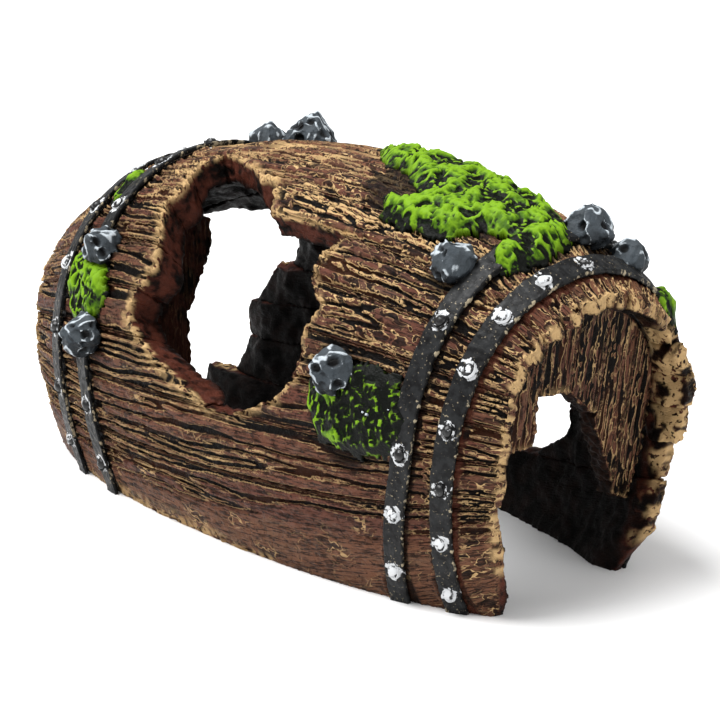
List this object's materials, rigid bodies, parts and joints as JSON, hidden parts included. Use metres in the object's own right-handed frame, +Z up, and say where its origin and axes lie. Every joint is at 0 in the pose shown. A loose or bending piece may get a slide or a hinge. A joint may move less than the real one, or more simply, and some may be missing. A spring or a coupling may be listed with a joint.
{
  "type": "broken barrel cave ornament",
  "caption": "Aquarium ornament shaped as a broken wooden barrel on its side: staves, iron hoops, headboards, stones and moss round a hollow that fish swim through.",
  "frame": {"origin": "on the floor under the middle of the whole object", "axes": "+X along the barrel to the open front, +Z up, -Y the side with the large hole and the stones"},
  "size_m": [0.165, 0.084, 0.0827],
  "materials": {
    "stave_wood": "painted resin cast as coarse weathered wood: black wash in the grooves, red-brown body, tan dry-brushed crests",
    "head_wood": "painted resin cast as upright boards, red-brown with ochre broken edges",
    "hoop_iron": "painted resin cast as black iron band, satin, worn tan edges and silver rivets",
    "stone_grey": "painted resin cast as stone, pale grey over black",
    "moss_green": "bright green flock-like pad over black"
  },
  "bodies": {
    "root": {"front_head_board_1": "head_wood", "front_head_board_2": "head_wood", "front_head_board_3": "head_wood", "front_head_board_4": "head_wood", "front_head_board_5": "head_wood", "front_head_board_6": "head_wood", "hoop_front": "hoop_iron", "hoop_front_inner": "hoop_iron", "hoop_rear": "hoop_iron", "hoop_rear_far": "hoop_iron", "hoop_rear_inner": "hoop_iron", "moss_front_far": "moss_green", "moss_hoop_top": "moss_green", "moss_near_front": "moss_green", "moss_near_rear": "moss_green", "moss_rear_top": "moss_green", "moss_top": "moss_green", "rear_head_board_1": "head_wood", "rear_head_board_2": "head_wood", "rear_head_board_3": "head_wood", "rear_head_board_4": "head_wood", "stave_01": "stave_wood", "stave_02": "stave_wood", "stave_03_front": "stave_wood", "stave_03_rear": "stave_wood", "stave_04_front": "stave_wood", "stave_04_rear": "stave_wood", "stave_05_front": "stave_wood", "stave_05_rear": "stave_wood", "stave_06_front": "stave_wood", "stave_06_rear": "stave_wood", "stave_07_front": "stave_wood", "stave_07_rear": "stave_wood", "stave_08_front": "stave_wood", "stave_08_rear": "stave_wood", "stave_09": "stave_wood", "stave_10": "stave_wood", "stave_11": "stave_wood", "stave_12": "stave_wood", "stave_13": "stave_wood", "stave_14_front": "stave_wood", "stave_14_rear": "stave_wood", "stave_15_front": "stave_wood", "stave_15_rear": "stave_wood", "stave_16_front": "stave_wood", "stave_16_rear": "stave_wood", "stave_17_front": "stave_wood", "stave_17_rear": "stave_wood", "stave_18": "stave_wood", "stone_near_front_1": "stone_grey", "stone_near_front_2": "stone_grey", "stone_near_rear_1": "stone_grey", "stone_near_rear_2": "stone_grey", "stone_top_front_1": "stone_grey", "stone_top_front_2": "stone_grey", "stone_top_front_3": "stone_grey", "stone_top_rear_1": "stone_grey", "stone_top_rear_2": "stone_grey"}
  },
  "joints": []
}
